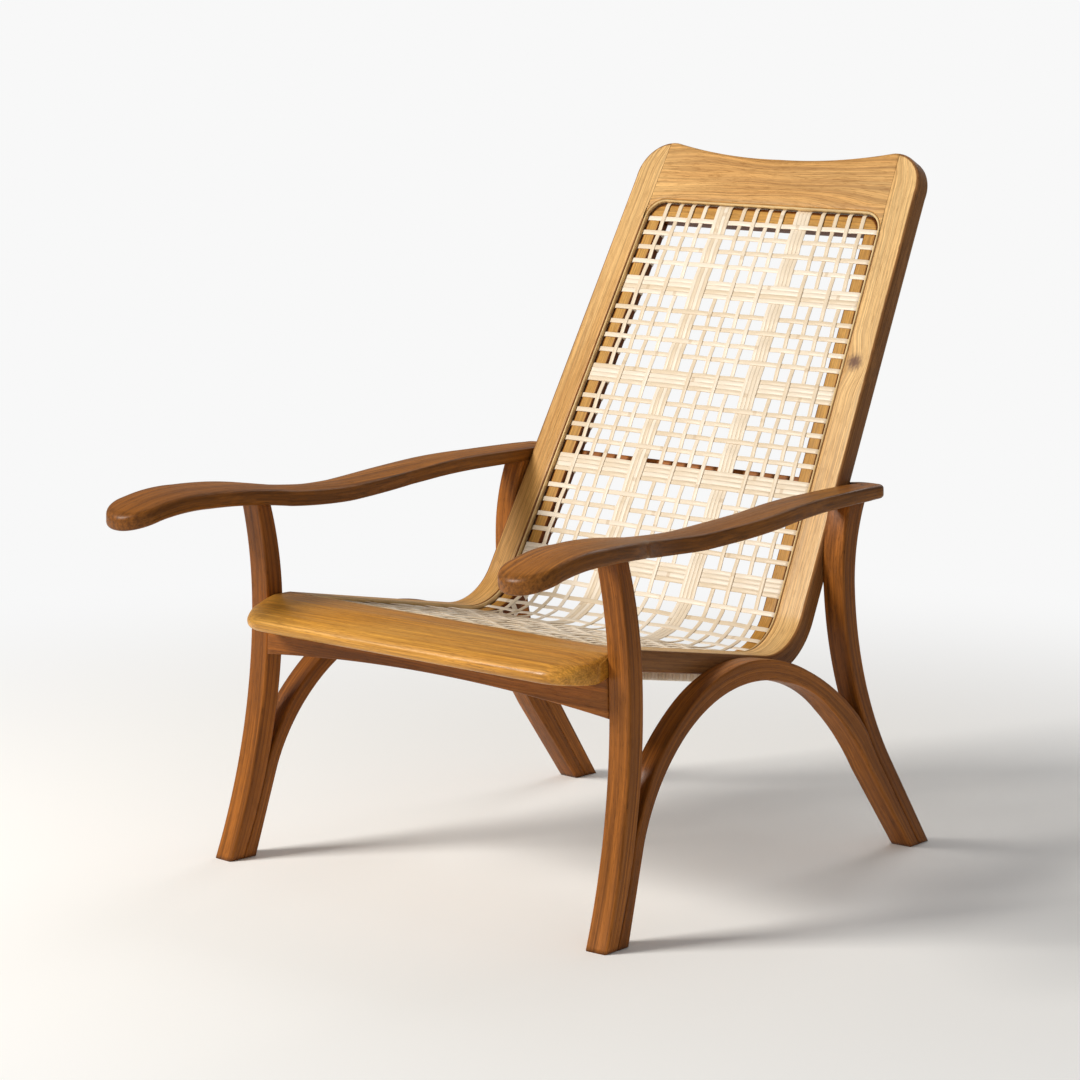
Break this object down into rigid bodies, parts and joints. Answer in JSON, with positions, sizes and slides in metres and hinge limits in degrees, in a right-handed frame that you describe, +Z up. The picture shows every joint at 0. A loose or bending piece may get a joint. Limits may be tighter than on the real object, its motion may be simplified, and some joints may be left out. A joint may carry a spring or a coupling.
{
  "type": "planters chair",
  "caption": "Low reclined wooden lounge chair with a woven cane seat and back, long paddle armrests, bowed legs and an arch between the legs of each side.",
  "frame": {"origin": "on the floor, at the centre of the chair's overall box", "axes": "+Z is up, the chair faces -Y, +X is the sitter's left"},
  "size_m": [0.786, 0.9893, 0.9498],
  "materials": {
    "frame_teak": "satin",
    "board_teak": "satin",
    "arm_teak": "satin",
    "leg_teak": "satin",
    "bar_wood": "matte",
    "bead_cane": "satin",
    "cane": "satin",
    "dowel_wood": "matte"
  },
  "bodies": {
    "root": {"left_front_leg": "leg_teak", "left_rear_leg": "leg_teak", "left_arch": "leg_teak", "left_armrest": "arm_teak", "left_side_rail": "frame_teak", "left_weaving_bar": "bar_wood", "right_front_leg": "leg_teak", "right_rear_leg": "leg_teak", "right_arch": "leg_teak", "right_armrest": "arm_teak", "right_side_rail": "frame_teak", "right_weaving_bar": "bar_wood", "crest_rail": "frame_teak", "front_seat_rail": "board_teak", "front_apron": "leg_teak", "back_cross_rail": "leg_teak", "top_weaving_bar": "bar_wood", "front_weaving_bar": "bar_wood", "border_bead": "bead_cane", "cane_back_wefts": "cane", "cane_bend_wefts": "cane", "cane_seat_wefts": "cane", "cane_narrow_warps": "cane", "cane_wide_warps": "cane", "arm_dowels": "dowel_wood", "board_dowels": "dowel_wood", "apron_dowels": "dowel_wood", "back_dowels": "dowel_wood", "rail_dowels": "dowel_wood", "crest_dowels": "dowel_wood", "arch_dowels": "dowel_wood", "weaving_frame_pins": "dowel_wood", "cross_rail_pins": "dowel_wood"}
  },
  "joints": []
}
